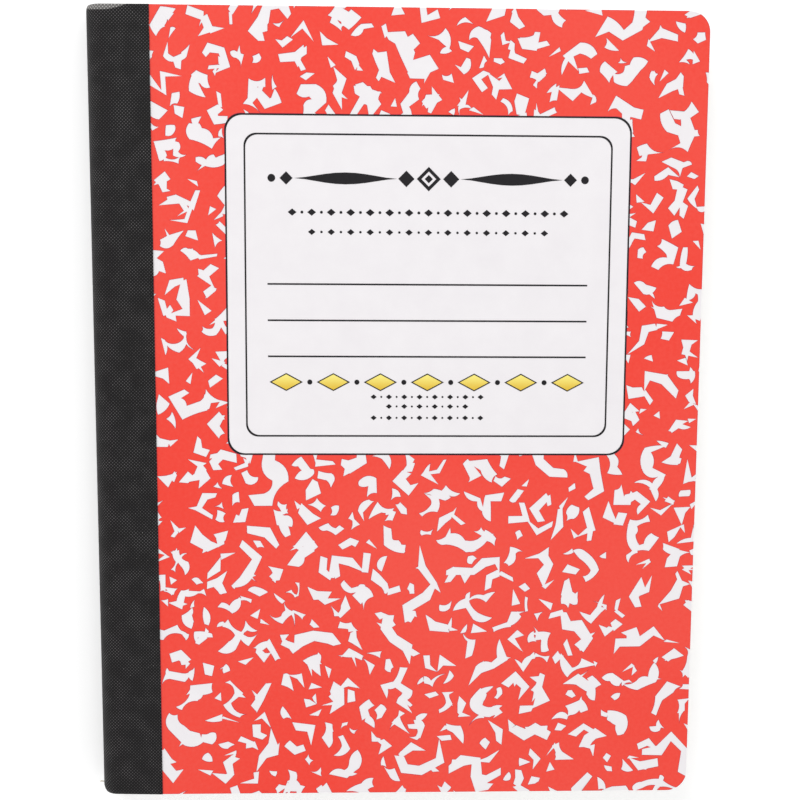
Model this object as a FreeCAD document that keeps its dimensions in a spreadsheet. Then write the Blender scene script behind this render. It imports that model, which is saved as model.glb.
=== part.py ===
import FreeCAD, Part
import math
import os
import random
import Sketcher
from FreeCAD import Vector

# A centre-sewn composition notebook, lying closed on its back cover.
# Frame: +X from the spine to the fore-edge, +Y from the tail to the head, +Z up
# through the front cover. The origin is under the middle of the closed book.
# All sizes are in millimetres.

SIZES = {
    # the closed book
    "cover_length": 247.65,       # tail to head, 9 3/4 in
    "cover_width": 190.5,         # spine to fore-edge, 7 1/2 in
    "corner_radius": 6.35,        # the two trimmed corners at the fore-edge
    "block_thickness": 8.9,       # 100 sheets, pressed
    "board_thickness": 0.8,       # pressboard cover
    "tape_thickness": 0.3,        # woven cloth tape
    "tape_width": 20.0,           # tape on each cover, from the outside of the spine
    "page_gap": 0.1,              # air between the cover and the pages
    "hinge_gap": 0.1,             # between the spine strip and a cover, at the crease
    # the seam
    "thread_diameter": 0.4,
    "thread_clearance": 0.08,     # between the thread and its hole, all round
    "stitch_margin": 8.8,         # first and last hole, from the tail and the head
    "hole_count": 24,
    # the print on the covers
    "print_thickness": 0.05,
    "label_width": 125.0,
    "label_length": 105.0,
    "label_to_tape": 22.2,        # from the tape's edge to the label
    "label_to_head": 31.8,        # from the head of the cover to the label
    "label_radius": 5.0,
    "border_width": 0.5,
    "border_inset": 5.8,          # between the outer and the inner border line
    "rule_width": 0.5,
    "rule_length": 99.4,
    "rule_drop": 51.6,            # from the label's top edge to the first writing rule
    "rule_pitch": 11.2,
    "headpiece_length": 99.0,     # ornament where a title would stand
    "headpiece_height": 7.4,
    "headpiece_drop": 19.3,
    "lozenge_length": 10.4,       # row of ornaments at the foot of the label
    "lozenge_height": 5.6,
    "lozenge_pitch": 14.7,
    "lozenge_drop": 82.0,
    # the ruling on the pages
    "ruling_thickness": 0.03,
    "ruling_width": 0.3,
    "ruling_pitch": 8.73,         # wide ruled, 11/32 in
    "ruling_head": 36.0,          # head of the page to the first line
    "ruling_tail": 8.0,           # least space under the last line
    "margin_line": 32.0,          # from the spine to the upright margin line
}

RULE_COUNT = 3
LOZENGE_COUNT = 7

# The marbling: bent shards of bare card in the field of red. The ranges are the
# least and the most that a shard may have.
SHARDS_PER_MM2 = 0.005
SHARD_REACH = 2.4              # no corner of a shard comes this near another shard
SHARD_FIRST_ARM = (5.0, 10.5)
SHARD_SECOND_ARM = (4.0, 8.5)
SHARD_BEND = (0.3, 1.7)        # radians
SHARD_HALF_WIDTH = (1.5, 2.8)
SHARD_CUT_END = (0.5, 1.2)     # half of the cut end, as a share of the half width
SHARD_CUT_SLANT = 0.6          # radians
TRIES_PER_SHARD = 40
MARBLING_SEED = {"front_print": 11, "back_print": 23}

doc = FreeCAD.newDocument("notebook")
sheet = doc.addObject("Spreadsheet::Sheet", "sizes")
for row, (alias, value) in enumerate(SIZES.items(), start=1):
    sheet.set("A%d" % row, alias)
    sheet.set("B%d" % row, str(value))
    sheet.setAlias("B%d" % row, alias)
doc.recompute()


def size(alias):
    """The value of one cell of the sheet."""
    return float(getattr(sheet, alias))


def value_of(expression):
    """An expression on the sheet, worked out as a number."""
    return float(sheet.evalExpression(expression))


# Places that several pieces share, as expressions on the sheet.
LENGTH = "sizes.cover_length"
TAPE = "sizes.tape_thickness"
BOARD = "sizes.board_thickness"
BLOCK = "sizes.block_thickness"
WRAP = "(sizes.tape_thickness + sizes.board_thickness + sizes.page_gap)"
THICKNESS = "(sizes.block_thickness + 2 * %s)" % WRAP
MIDDLE = "(sizes.block_thickness / 2 + %s)" % WRAP
FORE_EDGE = "(sizes.cover_width / 2)"
SPINE = "(-sizes.cover_width / 2)"
CREASE = "(%s + %s)" % (SPINE, MIDDLE)
COVER_EDGE = "(%s + sizes.hinge_gap)" % CREASE
TAPE_EDGE = "(%s + sizes.tape_width)" % SPINE
TAIL = "(-sizes.cover_length / 2)"
CHANNEL = "(sizes.thread_diameter + 2 * sizes.thread_clearance)"
SEAM_LENGTH = "(sizes.cover_length - 2 * sizes.stitch_margin)"
OUTER_RUN = "(%s + sizes.tape_thickness + %s / 2)" % (SPINE, CHANNEL)

pieces = []


def origin_feature(body, role):
    """One of a body's own origin planes or axes."""
    return next(item for item in body.Origin.OriginFeatures if item.Role == role)


def new_body(name):
    body = doc.addObject("PartDesign::Body", name)
    body.Label = name
    pieces.append(body)
    return body


def new_sketch(body, name, plane, across="0", along="0", off="0"):
    """A sketch on an origin plane, its own origin moved by three expressions."""
    sketch = body.newObject("Sketcher::SketchObject", name)
    sketch.AttachmentSupport = (origin_feature(body, plane), [""])
    sketch.MapMode = "FlatFace"
    sketch.setExpression("AttachmentOffset.Base.x", across)
    sketch.setExpression("AttachmentOffset.Base.y", along)
    sketch.setExpression("AttachmentOffset.Base.z", off)
    return sketch


def tie(sketch, kind, places, name, expression):
    """A dimension of a sketch, tied to the sheet."""
    index = sketch.addConstraint(Sketcher.Constraint(kind, *places, value_of(expression)))
    sketch.renameConstraint(index, name)
    sketch.setExpression("Constraints." + name, expression)


def join_ends(sketch, pairs):
    for first, first_end, second, second_end in pairs:
        tied = Sketcher.Constraint("Coincident", first, first_end, second, second_end)
        sketch.addConstraint(tied)


def rectangle(sketch, across, along):
    """A rectangle with one corner at the sketch's origin."""
    wide, high = value_of(across), value_of(along)
    corners = [Vector(0, 0, 0), Vector(wide, 0, 0), Vector(wide, high, 0), Vector(0, high, 0)]
    for i in range(4):
        sketch.addGeometry(Part.LineSegment(corners[i], corners[(i + 1) % 4]))
    join_ends(sketch, [(0, 2, 1, 1), (1, 2, 2, 1), (2, 2, 3, 1), (3, 2, 0, 1), (0, 1, -1, 1)])
    for line, way in ((0, "Horizontal"), (1, "Vertical"), (2, "Horizontal"), (3, "Vertical")):
        sketch.addConstraint(Sketcher.Constraint(way, line))
    tie(sketch, "Distance", (0,), "across", across)
    tie(sketch, "Distance", (1,), "along", along)


def circle(sketch, diameter):
    """A circle about the sketch's origin."""
    sketch.addGeometry(Part.Circle(Vector(0, 0, 0), Vector(0, 0, 1), value_of(diameter) / 2))
    join_ends(sketch, [(0, 3, -1, 1)])
    tie(sketch, "Diameter", (0,), "diameter", diameter)


def pad(body, sketch, length, both_ways=False):
    feature = body.newObject("PartDesign::Pad", sketch.Name + "_pad")
    feature.Profile = sketch
    feature.setExpression("Length", length)
    if both_ways:
        feature.SideType = "Symmetric"
    return feature


def round_fore_edge(body, feature):
    """The two upright edges at the fore-edge, trimmed round."""
    doc.recompute()
    reach = feature.Shape.BoundBox.XMax
    edges = []
    for number, edge in enumerate(feature.Shape.Edges, start=1):
        box = edge.BoundBox
        upright = box.XLength + box.YLength < 0.01
        if upright and abs(box.XMax - reach) < 0.01:
            edges.append("Edge%d" % number)
    if len(edges) != 2:
        raise RuntimeError("%s has %d upright edges at the fore-edge" % (body.Label, len(edges)))
    fillet = body.newObject("PartDesign::Fillet", body.Name + "_corners")
    fillet.Base = (feature, edges)
    fillet.setExpression("Radius", "sizes.corner_radius")


def plate(name, left, right, underside, thickness, rounded):
    """A flat piece of card or tape that runs the whole length of the book."""
    body = new_body(name)
    sketch = new_sketch(body, name + "_outline", "XY_Plane", left, TAIL, underside)
    rectangle(sketch, "%s - %s" % (right, left), LENGTH)
    feature = pad(body, sketch, thickness)
    if rounded:
        round_fore_edge(body, feature)
    return body


def half_circle(radius):
    """A half circle about the sketch's origin that bulges towards the spine."""
    return Part.ArcOfCircle(Part.Circle(Vector(0, 0, 0), Vector(0, 0, 1), radius),
                            math.pi / 2, 3 * math.pi / 2)


def half_round_profile(sketch, radius, closing_geometry):
    """A profile whose first curve is a half circle with its ends on the upright axis."""
    sketch.addGeometry(half_circle(value_of(radius)))
    for curve in closing_geometry:
        sketch.addGeometry(curve)
    join_ends(sketch, [(0, 3, -1, 1)])
    for end in (1, 2):
        sketch.addConstraint(Sketcher.Constraint("PointOnObject", 0, end, -2))
    tie(sketch, "Radius", (0,), "radius", radius)


def spine_strip(name, outer_radius, thickness):
    """A half-round strip of card or tape that wraps the back of the pages."""
    body = new_body(name)
    sketch = new_sketch(body, name + "_section", "XZ_Plane", CREASE, MIDDLE)
    inner_radius = "%s - %s" % (outer_radius, thickness)
    outer, inner = value_of(outer_radius), value_of(inner_radius)
    top = Part.LineSegment(Vector(0, outer, 0), Vector(0, inner, 0))
    bottom = Part.LineSegment(Vector(0, -inner, 0), Vector(0, -outer, 0))
    half_round_profile(sketch, outer_radius, [half_circle(inner), top, bottom])
    join_ends(sketch, [(1, 3, -1, 1), (0, 1, 2, 1), (2, 2, 1, 1), (1, 2, 3, 1), (3, 2, 0, 2)])
    sketch.addConstraint(Sketcher.Constraint("Vertical", 2))
    sketch.addConstraint(Sketcher.Constraint("Vertical", 3))
    tie(sketch, "Radius", (1,), "inner_radius", inner_radius)
    pad(body, sketch, LENGTH, both_ways=True)
    return body


def pages():
    """All the leaves, folded round one another: a round back and a flat fore-edge."""
    body = new_body("page_block")
    sketch = new_sketch(body, "page_block_section", "XZ_Plane", CREASE, MIDDLE)
    back_radius = BLOCK + " / 2"
    leaf = "%s - %s" % (FORE_EDGE, CREASE)
    high, wide = value_of(back_radius), value_of(leaf)
    top = Part.LineSegment(Vector(0, high, 0), Vector(wide, high, 0))
    fore_edge = Part.LineSegment(Vector(wide, high, 0), Vector(wide, -high, 0))
    bottom = Part.LineSegment(Vector(wide, -high, 0), Vector(0, -high, 0))
    half_round_profile(sketch, back_radius, [top, fore_edge, bottom])
    join_ends(sketch, [(0, 1, 1, 1), (1, 2, 2, 1), (2, 2, 3, 1), (3, 2, 0, 2)])
    for line, way in ((1, "Horizontal"), (2, "Vertical"), (3, "Horizontal")):
        sketch.addConstraint(Sketcher.Constraint(way, line))
    tie(sketch, "Distance", (1,), "leaf", leaf)
    feature = pad(body, sketch, LENGTH, both_ways=True)
    round_fore_edge(body, feature)
    return body


def repeat_along_seam(body, feature, name):
    """One hole or one leg of thread, repeated at every stitch."""
    pattern = body.newObject("PartDesign::LinearPattern", name)
    pattern.Originals = [feature]
    pattern.Direction = (origin_feature(body, "Y_Axis"), [""])
    pattern.setExpression("Length", SEAM_LENGTH)
    pattern.setExpression("Occurrences", "sizes.hole_count")
    body.Tip = pattern


def pocket(body, sketch, length):
    """A cut that runs both ways from its sketch, and has to take material away."""
    before = body.Tip
    doc.recompute()
    volume = before.Shape.Volume
    feature = body.newObject("PartDesign::Pocket", sketch.Name + "_cut")
    feature.Profile = sketch
    feature.SideType = "Symmetric"
    feature.setExpression("Length", length)
    doc.recompute()
    if feature.Shape.Volume > volume - 1e-6:
        raise RuntimeError("%s cuts nothing" % feature.Name)
    return feature


def cut_seam(body, run):
    """Room for the thread: a channel for its long run, and the stitch holes."""
    channel = new_sketch(body, body.Name + "_channel", "XZ_Plane",
                         "%s - %s / 2" % (run, CHANNEL), "%s - %s / 2" % (MIDDLE, CHANNEL))
    rectangle(channel, CHANNEL, CHANNEL)
    pocket(body, channel, "%s + %s" % (SEAM_LENGTH, CHANNEL))
    hole = new_sketch(body, body.Name + "_hole", "XZ_Plane",
                      SPINE, "%s - %s / 2" % (MIDDLE, CHANNEL), "%s / 2" % SEAM_LENGTH)
    rectangle(hole, "%s - %s" % (CREASE, SPINE), CHANNEL)
    first = pocket(body, hole, CHANNEL)
    repeat_along_seam(body, first, body.Name + "_holes")


def thread():
    """The seam: a run outside the card, a run in the centre fold, and legs between."""
    body = new_body("sewing_thread")
    for name, place in (("outer_run", OUTER_RUN), ("inner_run", CREASE)):
        run = new_sketch(body, name, "XZ_Plane", place, MIDDLE)
        circle(run, "sizes.thread_diameter")
        pad(body, run, SEAM_LENGTH, both_ways=True)
    leg = new_sketch(body, "leg", "YZ_Plane", "-%s / 2" % SEAM_LENGTH, MIDDLE, OUTER_RUN)
    circle(leg, "sizes.thread_diameter")
    first = pad(body, leg, "%s - %s" % (CREASE, OUTER_RUN))
    repeat_along_seam(body, first, "legs")


# The print. Each piece of it is a thin field, drawn flat and then set on its face.


def rounded_rectangle(left, right, low, high, radius, left_radius=None):
    """A flat face with round corners; the two left corners may be square."""
    left_radius = radius if left_radius is None else left_radius
    turn = math.sqrt(0.5)
    corners = [(left, low, left_radius, 1, 1), (right, low, radius, -1, 1),
               (right, high, radius, -1, -1), (left, high, left_radius, 1, -1)]
    edges = []
    ends = []
    for number, (x, y, r, in_x, in_y) in enumerate(corners):
        along_first = number % 2 == 1
        start = Vector(x + in_x * r, y, 0) if along_first else Vector(x, y + in_y * r, 0)
        finish = Vector(x, y + in_y * r, 0) if along_first else Vector(x + in_x * r, y, 0)
        if r > 0:
            middle = Vector(x + in_x * r * (1 - turn), y + in_y * r * (1 - turn), 0)
            edges.append(Part.Arc(start, middle, finish).toShape())
        ends.append((start, finish))
    for number in range(4):
        edges.append(Part.LineSegment(ends[number][1], ends[(number + 1) % 4][0]).toShape())
    return Part.Face(Part.Wire(Part.sortEdges(edges)[0]))


def polygon(points):
    corners = [Vector(x, y, 0) for x, y in points]
    return Part.Face(Part.makePolygon(corners + [corners[0]]))


def lay_print(name, faces, thickness, level):
    """Thin fields of ink or paper, face by face, set at their level."""
    feature = doc.addObject("Part::Feature", name)
    feature.Label = name
    feature.Shape = Part.makeCompound([face.extrude(Vector(0, 0, thickness)) for face in faces])
    feature.Placement = FreeCAD.Placement(Vector(0, 0, level), FreeCAD.Rotation())
    pieces.append(feature)


def step_from(point, heading, distance):
    return (point[0] + distance * math.cos(heading), point[1] + distance * math.sin(heading))


def shard(rng, elbow):
    """A bent shard about its elbow: a sharp tip, a cut end and a wide elbow."""
    heading = rng.uniform(0, 2 * math.pi)
    bend = rng.choice((-1, 1)) * rng.uniform(*SHARD_BEND)
    half_width = rng.uniform(*SHARD_HALF_WIDTH)
    tip = step_from(elbow, heading, -rng.uniform(*SHARD_FIRST_ARM))
    end = step_from(elbow, heading + bend, rng.uniform(*SHARD_SECOND_ARM))
    across = heading + bend / 2 + math.pi / 2
    mitre = half_width / max(math.cos(bend / 2), 0.5)
    cut = heading + bend + math.pi / 2 + rng.uniform(-SHARD_CUT_SLANT, SHARD_CUT_SLANT)
    half_cut = half_width * rng.uniform(*SHARD_CUT_END)
    return [tip, step_from(elbow, across, -mitre), step_from(end, cut, -half_cut),
            step_from(end, cut, half_cut), step_from(elbow, across, mitre)]


def crowded(points, taken):
    return any(abs(x - other_x) < SHARD_REACH and abs(y - other_y) < SHARD_REACH
               for x, y in points for other_x, other_y in taken)


def inside(point, box):
    left, right, low, high = box
    return left < point[0] < right and low < point[1] < high


def marbling(seed, cover, label):
    """Shards scattered over a cover, none on another. Only their tips run off its field."""
    rng = random.Random(seed)
    left, right, low, high = cover
    wanted = round(SHARDS_PER_MM2 * (right - left) * (high - low))
    faces = []
    taken = []
    for _ in range(TRIES_PER_SHARD * wanted):
        if len(faces) == wanted:
            break
        corners = shard(rng, (rng.uniform(left, right), rng.uniform(low, high)))
        if any(not inside(corner, cover) or (label and inside(corner, label))
               for corner in corners[1:]):
            continue
        sides = [((ax + bx) / 2, (ay + by) / 2)
                 for (ax, ay), (bx, by) in zip(corners, corners[1:])]
        if not crowded(corners + sides, taken):
            faces.append(polygon(corners))
            taken += corners + sides
    return faces


def red_field(name, level, label):
    """The red ink of one cover, with the shards and any label left bare."""
    left, right = value_of(TAPE_EDGE), value_of(FORE_EDGE)
    half = size("cover_length") / 2
    field = rounded_rectangle(left, right, -half, half, size("corner_radius"), 0)
    bare = marbling(MARBLING_SEED[name], (left, right, -half, half), label)
    if label:
        bare.append(label_face(0))
    lay_print(name, field.cut(bare).Faces, size("print_thickness"), level)


def label_box():
    left = value_of(TAPE_EDGE) + size("label_to_tape")
    top = size("cover_length") / 2 - size("label_to_head")
    return left, left + size("label_width"), top - size("label_length"), top


def label_face(inset):
    left, right, low, high = label_box()
    return rounded_rectangle(left + inset, right - inset, low + inset, high - inset,
                             size("label_radius"))


def ring(inset):
    """A border line round the label."""
    return label_face(inset).cut(label_face(inset + size("border_width"))).Faces[0]


def lozenge(centre_x, centre_y, half_length, half_height):
    return [(centre_x - half_length, centre_y), (centre_x, centre_y - half_height),
            (centre_x + half_length, centre_y), (centre_x, centre_y + half_height)]


def label_print(level):
    """The label's borders and writing rules in black, and its ornaments."""
    left, right, low, high = label_box()
    middle = (left + right) / 2
    black = [ring(0), ring(size("border_inset"))]
    for number in range(RULE_COUNT):
        y = high - size("rule_drop") - number * size("rule_pitch")
        black.append(rounded_rectangle(middle - size("rule_length") / 2,
                                       middle + size("rule_length") / 2,
                                       y - size("rule_width") / 2, y + size("rule_width") / 2, 0))
    y = high - size("headpiece_drop")
    half_height = size("headpiece_height") / 2
    black.append(polygon(lozenge(middle, y, half_height, half_height)))
    for way in (-1, 1):
        inner = middle + way * 1.5 * half_height
        outer = middle + way * size("headpiece_length") / 2
        black.append(polygon(lozenge((inner + outer) / 2, y, abs(outer - inner) / 2,
                                     half_height / 3)))
    lay_print("label_lines", black, size("print_thickness"), level)

    y = high - size("lozenge_drop")
    yellow = []
    for number in range(LOZENGE_COUNT):
        x = middle + (number - (LOZENGE_COUNT - 1) / 2) * size("lozenge_pitch")
        yellow.append(polygon(lozenge(x, y, size("lozenge_length") / 2,
                                      size("lozenge_height") / 2)))
    lay_print("label_ornaments", yellow, size("print_thickness"), level)


def page_ruling():
    """Pale blue lines and a red margin line on the first and the last page."""
    half = size("cover_length") / 2
    half_line = size("ruling_width") / 2
    left, right = value_of(CREASE), value_of(FORE_EDGE)
    room = size("cover_length") - size("ruling_head") - size("ruling_tail")
    lines = []
    for number in range(int(room / size("ruling_pitch")) + 1):
        y = half - size("ruling_head") - number * size("ruling_pitch")
        lines.append((left, right, y - half_line, y + half_line))
    margin_x = value_of(SPINE) + size("margin_line")
    thickness = size("ruling_thickness")
    above = value_of("%s + %s" % (WRAP, BLOCK))
    below = value_of(WRAP) - thickness
    for side, level in (("first_page", above), ("last_page", below)):
        faces = []
        for start, stop in ((left, margin_x - half_line), (margin_x + half_line, right)):
            faces += [rounded_rectangle(start, stop, low, high, 0) for _, _, low, high in lines]
        lay_print(side + "_lines", faces, thickness, level)
        upright = rounded_rectangle(margin_x - half_line, margin_x + half_line, -half, half, 0)
        lay_print(side + "_margin", [upright], thickness, level)


def report(item):
    box = item.Shape.BoundBox
    print("%-18s %3d solids  x %.2f..%.2f  y %.2f..%.2f  z %.2f..%.2f  %.1f mm3"
          % (item.Label, len(item.Shape.Solids), box.XMin, box.XMax, box.YMin, box.YMax,
             box.ZMin, box.ZMax, item.Shape.Volume))


# The pages and what is sewn and glued to their back.
cut_seam(pages(), CREASE)
card_strip = spine_strip("spine_board", "(%s - %s)" % (MIDDLE, TAPE), BOARD)
cut_seam(card_strip, OUTER_RUN)
spine_strip("spine_tape", MIDDLE, TAPE)
thread()
page_ruling()

# The covers, each with its share of the tape.
FRONT_FACE = "(%s - %s)" % (THICKNESS, TAPE)
plate("front_board", COVER_EDGE, FORE_EDGE, "(%s - %s)" % (FRONT_FACE, BOARD), BOARD, True)
plate("back_board", COVER_EDGE, FORE_EDGE, TAPE, BOARD, True)
plate("front_tape", COVER_EDGE, TAPE_EDGE, FRONT_FACE, TAPE, False)
plate("back_tape", COVER_EDGE, TAPE_EDGE, "0", TAPE, False)

# The print on the covers.
red_field("front_print", value_of(FRONT_FACE), label_box())
red_field("back_print", size("tape_thickness") - size("print_thickness"), None)
label_print(value_of(FRONT_FACE))

doc.recompute()
for item in doc.Objects:
    if "Invalid" in item.State or "Error" in item.State:
        raise RuntimeError("%s did not build: %s" % (item.Label, item.State))
    if item.TypeId == "Sketcher::SketchObject" and item.solve() != 0:
        raise RuntimeError("%s does not solve" % item.Label)
    if item.TypeId == "Sketcher::SketchObject" and item.FullyConstrained is False:
        raise RuntimeError("%s is not fully constrained" % item.Label)
for item in pieces:
    if item.Shape.isNull() or not item.Shape.isValid() or not item.Shape.Solids:
        raise RuntimeError("%s has no valid solid" % item.Label)

os.makedirs("parts", exist_ok=True)
for item in pieces:
    item.Shape.exportStep("parts/%s.step" % item.Label)
    report(item)
print("the covers turn about x %.2f, z %.2f and 0" % (value_of(CREASE), value_of(THICKNESS)))
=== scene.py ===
# %% [markdown]
# # A composition notebook
# The real book is a stack of folded sheets, sewn through the fold and wrapped in printed card, with a
# cloth tape over the spine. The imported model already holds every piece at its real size. This script
# loads it as a fixed frame and gives each piece its finish, or a finer mesh in the same place.

# %% Load the frame
import math
import random

import bmesh
import bpy
import numpy as np
from mathutils import Matrix, Vector
from mathutils.geometry import delaunay_2d_cdt


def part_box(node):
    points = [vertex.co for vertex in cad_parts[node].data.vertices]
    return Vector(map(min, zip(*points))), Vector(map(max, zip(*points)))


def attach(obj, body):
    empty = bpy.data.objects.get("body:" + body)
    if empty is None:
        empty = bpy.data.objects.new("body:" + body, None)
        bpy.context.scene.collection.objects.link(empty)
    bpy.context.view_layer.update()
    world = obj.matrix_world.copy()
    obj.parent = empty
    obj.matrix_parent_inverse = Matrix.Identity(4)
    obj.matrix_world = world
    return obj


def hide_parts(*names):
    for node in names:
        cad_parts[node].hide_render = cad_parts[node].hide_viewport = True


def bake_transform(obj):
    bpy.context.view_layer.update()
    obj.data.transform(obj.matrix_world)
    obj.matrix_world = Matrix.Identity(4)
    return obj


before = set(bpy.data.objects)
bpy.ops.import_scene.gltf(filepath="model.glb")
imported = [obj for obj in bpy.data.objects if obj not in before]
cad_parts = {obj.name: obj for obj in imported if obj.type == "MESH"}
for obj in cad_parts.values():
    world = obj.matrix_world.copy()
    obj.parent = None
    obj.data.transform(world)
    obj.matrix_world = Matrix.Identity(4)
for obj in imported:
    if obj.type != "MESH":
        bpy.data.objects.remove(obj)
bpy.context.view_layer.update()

# %% [markdown]
# ## Where things are
# The large sizes aren't typed in again. The lines that the pieces meet at are read from the boxes of
# the CAD nodes, in metres: x runs from the spine to the fore-edge, y from the tail to the head, z up.

# %% Lines and levels
MM = 0.001
spine_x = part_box("spine_tape")[0].x
crease_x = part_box("spine_tape")[1].x
tape_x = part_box("front_tape")[1].x
fore_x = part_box("front_board")[1].x
half_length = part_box("front_board")[1].y
top_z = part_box("spine_tape")[1].z
middle_z = top_z / 2
card_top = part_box("front_board")[1].z
card_thickness = card_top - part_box("front_board")[0].z
tape_thickness = top_z - card_top
ink_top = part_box("front_print")[1].z
page_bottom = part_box("page_block")[0].z
page_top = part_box("page_block")[1].z
CORNER_RADIUS = 6.35 * MM
print("spine", round(spine_x, 5), "crease", round(crease_x, 5), "fore-edge", round(fore_x, 5))

# %% [markdown]
# ## Working by hand
# A mesh is shaped in edit mode, where an operator acts on all that is selected. With the mouse one
# would click on corners and edges. Here a small test picks them by their place, so the same steps
# give the same piece each time.

# %% Helpers for edit mode
def begin(name):
    """The primitive that was just added, named, with its place and size moved into its mesh."""
    piece = bpy.context.active_object
    piece.name = piece.data.name = name
    bpy.ops.object.transform_apply(location=True, rotation=True, scale=True)
    return piece


def nothing_selected():
    if bpy.context.mode != "OBJECT":
        bpy.ops.object.mode_set(mode="OBJECT")
    bpy.ops.object.select_all(action="DESELECT")


def pick(kind, test):
    """Selects what passes the test by its middle, in edit mode. kind is VERT or EDGE."""
    bpy.ops.mesh.select_mode(type=kind)
    bpy.ops.mesh.select_all(action="DESELECT")
    data = bpy.context.active_object.data
    mesh = bmesh.from_edit_mesh(data)
    for part in mesh.verts if kind == "VERT" else mesh.edges:
        corners = [part] if kind == "VERT" else list(part.verts)
        middle = sum((v.co for v in corners), Vector()) / len(corners)
        if test(middle):
            part.select_set(True)
    mesh.select_flush_mode()
    bmesh.update_edit_mesh(data)


def near(a, b, slack=0.005 * MM):
    return abs(a - b) < slack


def cut_across(places, axis):
    """Cuts the whole mesh by planes square to an axis, so that it can bend there."""
    normal = [1.0 if number == axis else 0.0 for number in range(3)]
    for place in places:
        point = [place if number == axis else 0.0 for number in range(3)]
        bpy.ops.mesh.select_all(action="SELECT")
        bpy.ops.mesh.bisect(plane_co=point, plane_no=normal)


def apply_modifier(piece, kind, **settings):
    modifier = piece.modifiers.new(kind.lower(), kind)
    for name, value in settings.items():
        setattr(modifier, name, value)
    nothing_selected()
    piece.select_set(True)
    bpy.context.view_layer.objects.active = piece
    bpy.ops.object.modifier_apply(modifier=modifier.name)


def finish_piece(piece, material, smooth_angle=40):
    """Smooth shading up to an angle, and the piece's material."""
    nothing_selected()
    piece.select_set(True)
    bpy.context.view_layer.objects.active = piece
    bpy.ops.object.shade_smooth_by_angle(angle=math.radians(smooth_angle))
    if not piece.data.materials:
        piece.data.materials.append(material)
    triangles = sum(len(face.vertices) - 2 for face in piece.data.polygons)
    print(piece.name, triangles, "triangles")

# %% [markdown]
# ## Writing shaders as sums
# A procedural finish is a formula over the surface. Drawing it as nodes takes one box for each plus
# or times, so a wire between nodes gets Python's own operators here: `1 - mask * 0.4` adds the Math
# nodes that it needs.

# %% Wires
class Wire:
    """A node's output socket, on which + - * and / add Math nodes."""

    def __init__(self, nodes, socket):
        self.nodes = nodes
        self.socket = socket

    def maths(self, operation, *values):
        return self.nodes.node("Math", {"operation": operation}, dict(enumerate(values)))

    def __add__(self, other):
        return self.maths("ADD", self, other)

    def __sub__(self, other):
        return self.maths("SUBTRACT", self, other)

    def __rsub__(self, other):
        return self.maths("SUBTRACT", other, self)

    def __mul__(self, other):
        return self.maths("MULTIPLY", self, other)

    def __truediv__(self, other):
        return self.maths("DIVIDE", self, other)

    __radd__ = __add__

    def sine(self):
        return self.maths("SINE", self)

    def above(self, limit):
        """1 where the value is above the limit, and 0 elsewhere."""
        return self.maths("GREATER_THAN", self, limit)

    def between(self, low, high):
        """0 below low, 1 above high, and a smooth step between them."""
        options = {"interpolation_type": "SMOOTHSTEP"}
        return self.nodes.node("MapRange", options, {0: self, 1: low, 2: high, 3: 0.0, 4: 1.0})

# %% [markdown]
# Any other node comes from `node`, which sets its options first and then fills its sockets with
# values or wires. It serves the world as well as materials. A recipe is a material with one shader
# and short names for what nearly every finish needs: a place, a noise, a mix of colours, a bump.

# %% Recipes
class Nodes:
    """The nodes of a material or of the world, and the wires between them."""

    def __init__(self, owner):
        owner.use_nodes = True
        self.tree = owner.node_tree

    def node(self, kind, options=None, inputs=None, output=0):
        made = self.tree.nodes.new("ShaderNode" + kind)
        for name, value in (options or {}).items():
            setattr(made, name, value)
        for key, value in (inputs or {}).items():
            self.connect(made.inputs[key], value)
        return Wire(self, made.outputs[output])

    def connect(self, socket, value):
        if isinstance(value, Wire):
            self.tree.links.new(value.socket, socket)
        else:
            socket.default_value = value


class Recipe(Nodes):
    """A material with one Principled shader, and the nodes that feed it."""

    def __init__(self, name, **constants):
        self.material = bpy.data.materials.new(name)
        super().__init__(self.material)
        self.shader = self.tree.nodes["Principled BSDF"]
        for socket, value in constants.items():
            self.feed(socket.replace("_", " "), value)

    def feed(self, socket, value):
        self.connect(self.shader.inputs[socket], value)

    def place(self, stretch=(1, 1, 1)):
        """The point on the object, in metres, with each axis multiplied by stretch."""
        here = self.node("TexCoord", output="Object")
        return self.node("Mapping", None, {"Vector": here, "Scale": stretch})

    def along(self, axis, where=None):
        where = where or self.node("TexCoord", output="Object")
        return self.node("SeparateXYZ", None, {0: where}, output=axis)

    def noise(self, scale, detail=2.0, where=None):
        where = where or self.place()
        return self.node("TexNoise", None, {"Vector": where, "Scale": scale, "Detail": detail})

    def mix(self, share, first, second):
        """A colour between two: the first at share 0, the second at share 1."""
        return self.node("Mix", {"data_type": "RGBA"}, {0: share, 6: first, 7: second}, output=2)

    def bump(self, height, distance, strength=1.0):
        self.feed("Normal", self.node("Bump", None, {"Height": height, "Distance": distance,
                                                     "Strength": strength}))


def srgb(red, green, blue):
    """A colour as a paint program names it, 0 to 255, as the linear numbers that Blender uses."""
    def linear(value):
        share = value / 255
        return share / 12.92 if share <= 0.04045 else ((share + 0.055) / 1.055) ** 2.4
    return (linear(red), linear(green), linear(blue), 1.0)

# %% [markdown]
# ## Card and paper
# The cover is coated white card, and its bare places carry the marbling and the label. Card is not
# one flat white: it has cloudy patches a few millimetres wide and a grain finer than a tenth of a
# millimetre. Two noises of very different scale give both, and the fine one also feeds a weak bump.

# %% Card
def card_material():
    card = Recipe("white_card", Roughness=0.52, Specular_IOR_Level=0.3)
    clouds = card.noise(140.0, 3.0)
    grain = card.noise(5200.0, 2.0)
    tone = card.mix(clouds, srgb(240, 236, 239), srgb(248, 245, 247))
    specks = grain.between(0.70, 0.80) * 0.10
    card.feed("Base Color", card.mix(specks, tone, srgb(196, 190, 190)))
    card.bump(grain + clouds * 0.6, 0.012 * MM, 0.35)
    return card.material


white_card = card_material()

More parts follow.
